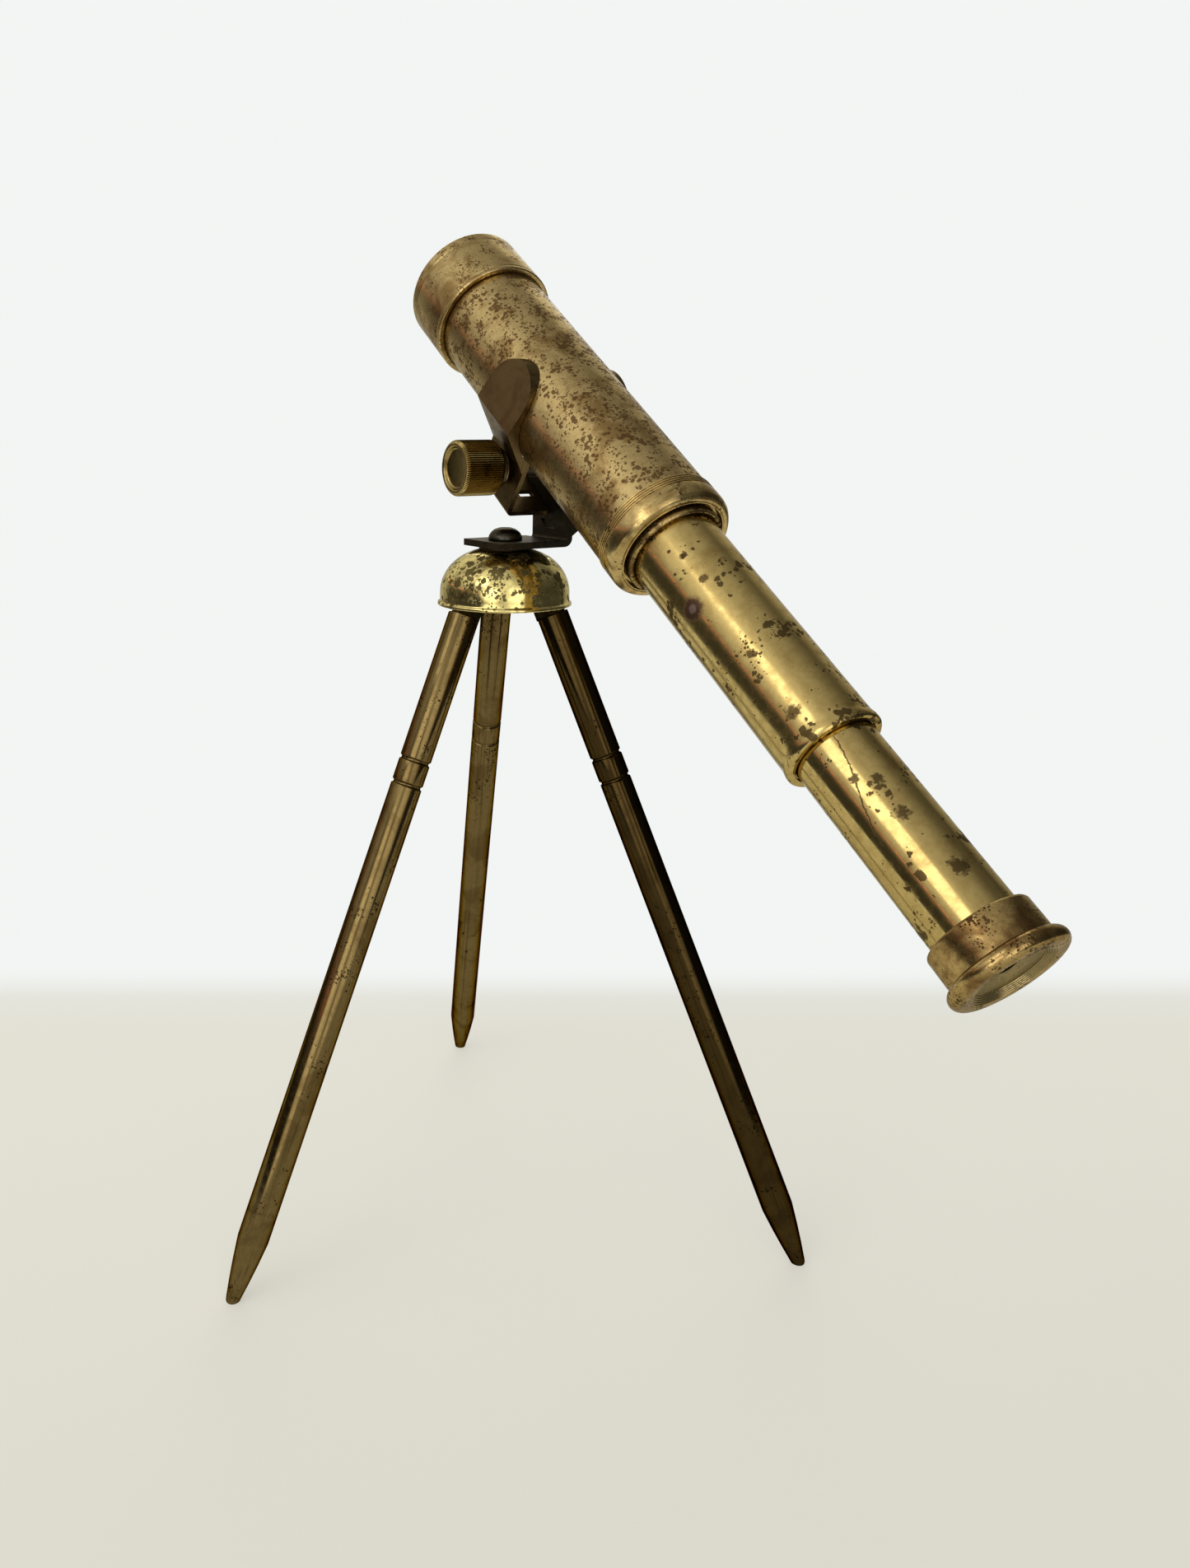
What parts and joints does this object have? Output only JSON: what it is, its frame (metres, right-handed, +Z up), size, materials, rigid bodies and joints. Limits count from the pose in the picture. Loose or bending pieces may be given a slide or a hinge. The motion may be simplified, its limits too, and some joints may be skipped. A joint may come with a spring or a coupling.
{
  "type": "tabletop telescope on tripod",
  "caption": "Brass draw-tube spyglass held in a two-jaw screw clamp that swivels and tilts on a domed head with folding pointed legs.",
  "frame": {"origin": "on the floor, on the stand's upright axis, midway between the feet", "axes": "+Z up; +X level, from the objective end towards the eyepiece end; the thumb knob is on the -Y side"},
  "size_m": [0.2327, 0.1367, 0.2595],
  "materials": {
    "cap_brass": "polished, with brown-green spots",
    "leg_brass": "aged, dark, streaked lengthwise",
    "barrel_brass": "mottled brown patina",
    "hood_brass": "mottled brown patina",
    "ring_brass": "turned, satin",
    "collar_brass": "turned, dull",
    "draw_brass": "worn bright by sliding",
    "eyepiece_brass": "turned, satin",
    "inner_brass": "dull, unpolished",
    "knob_brass": "straight knurled, dark in the grooves",
    "washer_brass": "bright, turned",
    "bracket_steel": "blackened, worn at the edges",
    "jaw_steel": "blackened, worn at the edges",
    "screw_steel": "blackened",
    "thread_steel": "threaded, oily",
    "washer_steel": "blackened",
    "pin_steel": "plain",
    "objective_glass": "clear",
    "ocular_glass": "clear"
  },
  "bodies": {
    "stand_head": {"dome_cap": "cap_brass", "leg_hub": "inner_brass", "leg_pins": "pin_steel", "pivot_screw": "screw_steel", "base_washer": "washer_steel"},
    "leg_1": {"leg_1": "leg_brass"},
    "leg_2": {"leg_2": "leg_brass"},
    "leg_3": {"leg_3": "leg_brass"},
    "bracket": {"foot_bracket": "bracket_steel"},
    "telescope": {"back_jaw": "jaw_steel", "objective_hood": "hood_brass", "objective_cell": "inner_brass", "objective_crown": "objective_glass", "objective_flint": "objective_glass", "objective_retainer": "inner_brass", "main_barrel": "barrel_brass", "barrel_end_ring": "ring_brass", "guide_collar": "collar_brass"},
    "front_jaw": {"front_jaw": "jaw_steel"},
    "thumb_screw": {"thumb_screw": "thread_steel", "thumb_knob": "knob_brass", "knob_washer": "washer_brass"},
    "draw_a": {"draw_tube_a": "draw_brass", "a_stop_ring": "inner_brass", "a_guide_collar": "collar_brass"},
    "draw_b": {"draw_tube_b": "draw_brass", "b_stop_ring": "inner_brass", "erector_cell": "inner_brass", "erector_lens_front": "ocular_glass", "erector_lens_rear": "ocular_glass", "field_lens": "ocular_glass", "field_stop": "inner_brass", "eyepiece_cup": "eyepiece_brass", "eyepiece_flange": "eyepiece_brass", "eye_lens": "ocular_glass", "eye_lens_cell": "inner_brass"}
  },
  "joints": [
    {"name": "leg_1_fold", "type": "hinge", "parent": "stand_head", "child": "leg_1", "pos_m": [0.00112, -0.00996, 0.172], "axis": [0.9938, 0.1115, 0], "range_deg": [0, 23]},
    {"name": "leg_2_fold", "type": "hinge", "parent": "stand_head", "child": "leg_2", "pos_m": [0.00807, 0.00595, 0.172], "axis": [-0.5934, 0.8049, 0], "range_deg": [0, 23]},
    {"name": "leg_3_fold", "type": "hinge", "parent": "stand_head", "child": "leg_3", "pos_m": [-0.00919, 0.00401, 0.172], "axis": [-0.4003, -0.9164, 0], "range_deg": [0, 23]},
    {"name": "swivel", "type": "hinge", "parent": "stand_head", "child": "bracket", "pos_m": [0, 0, 0.182], "axis": [0, 0, 1], "continuous": true},
    {"name": "tilt", "type": "hinge", "parent": "bracket", "child": "telescope", "pos_m": [0, 0.0137, 0.2014], "axis": [0, 1, 0], "range_deg": [-60, 25]},
    {"name": "jaw_slide", "type": "slide", "parent": "telescope", "child": "front_jaw", "axis": [0, -1, 0], "range_m": [0, 0.0024]},
    {"name": "screw_turn", "type": "hinge", "parent": "front_jaw", "child": "thumb_screw", "pos_m": [0, -0.002, 0.2014], "axis": [0, -1, 0], "range_deg": [0, 1085]},
    {"name": "draw_a_slide", "type": "slide", "parent": "telescope", "child": "draw_a", "axis": [0.8221, 0, -0.5693], "range_m": [-0.056, 0]},
    {"name": "draw_b_slide", "type": "slide", "parent": "draw_a", "child": "draw_b", "axis": [0.8221, 0, -0.5693], "range_m": [-0.04, 0.022]}
  ],
  "couplings": [
    {"joint": "screw_turn", "follows": "jaw_slide", "rad_per_m": 7854}
  ]
}
